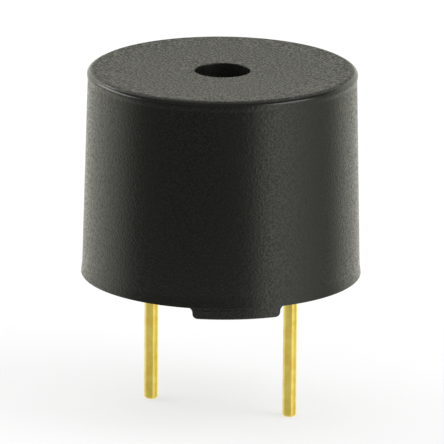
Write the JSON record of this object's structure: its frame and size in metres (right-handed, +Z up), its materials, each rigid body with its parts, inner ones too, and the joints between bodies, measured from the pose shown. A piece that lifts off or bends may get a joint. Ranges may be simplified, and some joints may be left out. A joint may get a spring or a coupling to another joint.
{
  "type": "magnetic buzzer",
  "caption": "Round black magnetic buzzer for a circuit board: moulded case with a sound port in its top, short feet on the rim and straight gold pins below.",
  "frame": {"origin": "middle of the seating plane under the feet, midway between the two pins", "axes": "+Z up through the sound port, +X towards the positive pin, the pins point along -Z"},
  "size_m": [0.012, 0.012, 0.0151],
  "materials": {
    "case_moulding": "satin moulded black polyester, fine spark-eroded grain on the top",
    "gold_plate": "gold plated, drawn smooth",
    "board_laminate": "glass fibre laminate under green solder mask",
    "solder": "bright reflowed solder",
    "sealant": "cured amber epoxy",
    "plated_steel": "soft iron, zinc plated",
    "spring_steel": "rolled spring steel",
    "enamelled_copper": "enamelled copper wire",
    "ferrite": "pressed ferrite",
    "ring_moulding": "natural moulded nylon"
  },
  "bodies": {
    "root": {"housing": "case_moulding", "circuit_board": "board_laminate", "positive_pin": "gold_plate", "negative_pin": "gold_plate", "positive_pin_solder": "solder", "negative_pin_solder": "solder", "start_lead_solder": "solder", "finish_lead_solder": "solder", "edge_sealant": "sealant", "yoke_plate": "plated_steel", "pole_core": "plated_steel", "coil_winding": "enamelled_copper", "coil_start_lead": "enamelled_copper", "coil_finish_lead": "enamelled_copper", "ring_magnet": "ferrite", "support_ring": "ring_moulding", "diaphragm": "spring_steel", "armature_disc": "plated_steel"}
  },
  "joints": []
}
